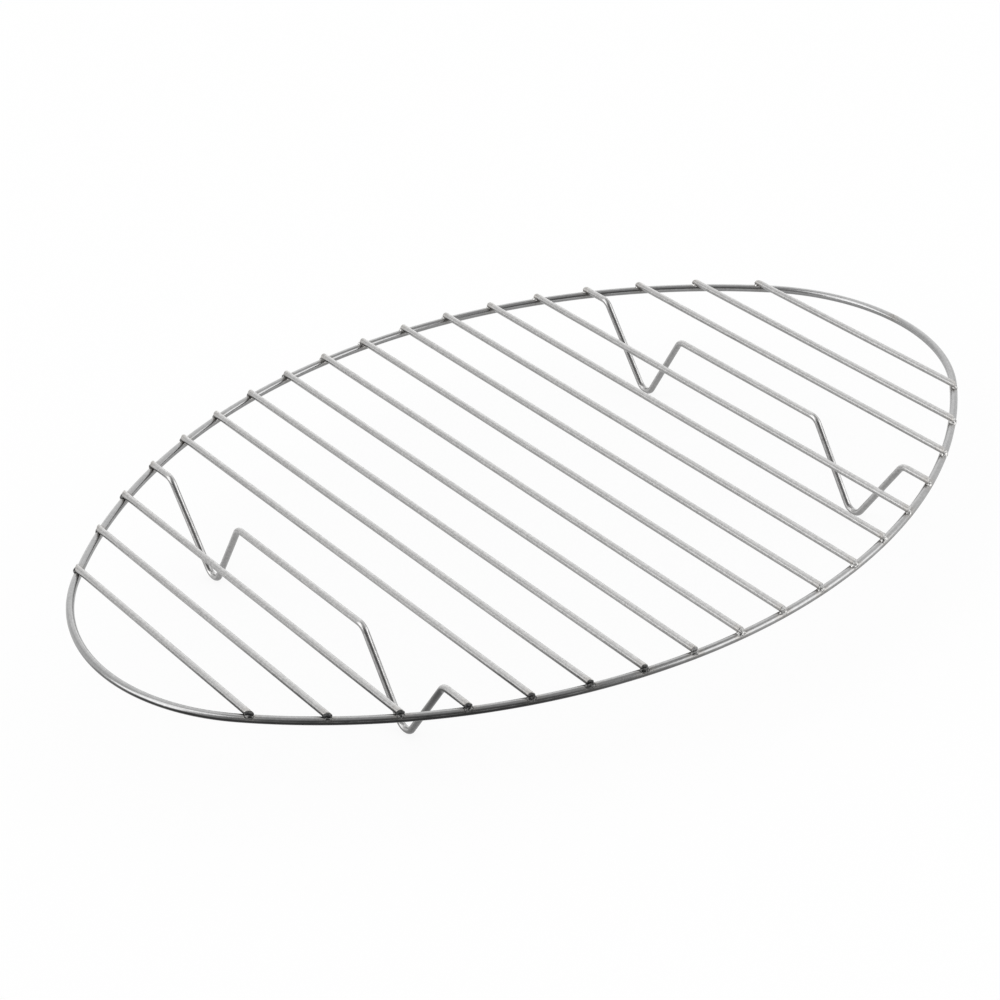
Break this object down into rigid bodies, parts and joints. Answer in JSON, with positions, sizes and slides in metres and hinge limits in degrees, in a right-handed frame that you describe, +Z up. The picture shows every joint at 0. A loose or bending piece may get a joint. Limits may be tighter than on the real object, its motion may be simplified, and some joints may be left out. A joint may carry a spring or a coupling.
{
  "type": "oval wire grill rack",
  "caption": "Oval welded wire grill rack: a bent rim ring with parallel cross wires on top and bent wire feet, holding food above a roasting pan's base.",
  "frame": {"origin": "on the table under the middle of the rack, level with the lowest points of the four feet", "axes": "+X along the oval's long axis, +Y along the cross wires, +Z up"},
  "size_m": [0.34, 0.23, 0.031],
  "materials": {
    "ring_steel": "polished stainless steel wire, bright drawn",
    "wire_steel": "satin stainless steel wire, drawn, with dull weld spots"
  },
  "bodies": {
    "root": {"rim_ring": "ring_steel", "cross_wire_01": "wire_steel", "cross_wire_02": "wire_steel", "cross_wire_03": "wire_steel", "cross_wire_04": "wire_steel", "cross_wire_05": "wire_steel", "cross_wire_06": "wire_steel", "cross_wire_07": "wire_steel", "cross_wire_08": "wire_steel", "cross_wire_09": "wire_steel", "cross_wire_10": "wire_steel", "cross_wire_11": "wire_steel", "cross_wire_12": "wire_steel", "cross_wire_13": "wire_steel", "cross_wire_14": "wire_steel", "cross_wire_15": "wire_steel", "cross_wire_16": "wire_steel", "leg_wire_left": "wire_steel", "leg_wire_right": "wire_steel"}
  },
  "joints": []
}
